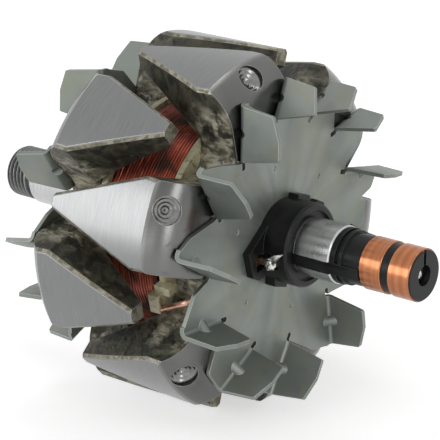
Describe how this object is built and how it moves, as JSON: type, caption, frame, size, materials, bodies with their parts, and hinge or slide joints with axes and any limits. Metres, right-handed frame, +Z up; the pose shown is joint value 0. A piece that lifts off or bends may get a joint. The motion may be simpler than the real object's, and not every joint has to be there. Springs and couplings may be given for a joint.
{
  "type": "generator rotor",
  "caption": "Claw-pole rotor with interlocking forged claws round a field coil, stamped fans on both faces, a threaded drive end and slip rings at the other end.",
  "frame": {"origin": "on the shaft axis, midway between the two pole halves, which is also the centre of the part's box", "axes": "+X along the shaft towards the slip rings, +Z up as in the picture"},
  "size_m": [0.1526, 0.1068, 0.1068],
  "materials": {
    "forged_steel": "turned claw faces, dull forged shoulders and flanks",
    "ground_steel": "ground",
    "plated_sheet": "pale zinc plating with a yellow tinge, satin",
    "black_moulding": "satin",
    "ring_copper": "turned copper",
    "lead_copper": "varnished copper wire",
    "enamelled_wire": "dark red enamel",
    "bobbin_moulding": "cream moulding under varnish",
    "sleeve": "woven sleeve",
    "tinned_metal": "tinned and soldered"
  },
  "bodies": {
    "root": {"shaft": "ground_steel", "drive_end_spacer": "ground_steel", "slip_ring_side_pole_half": "forged_steel", "drive_side_pole_half": "forged_steel", "pole_core": "forged_steel", "coil_bobbin": "bobbin_moulding", "field_winding": "enamelled_wire", "slip_ring_side_fan": "plated_sheet", "drive_side_fan": "plated_sheet", "lead_collar": "black_moulding", "slip_ring_carrier": "black_moulding", "inner_slip_ring": "ring_copper", "outer_slip_ring": "ring_copper", "inner_ring_bar": "ring_copper", "outer_ring_bar": "ring_copper", "first_lead_wire": "lead_copper", "second_lead_wire": "lead_copper", "first_lead_sleeve": "sleeve", "second_lead_sleeve": "sleeve", "first_lead_terminal": "tinned_metal", "second_lead_terminal": "tinned_metal"}
  },
  "joints": []
}
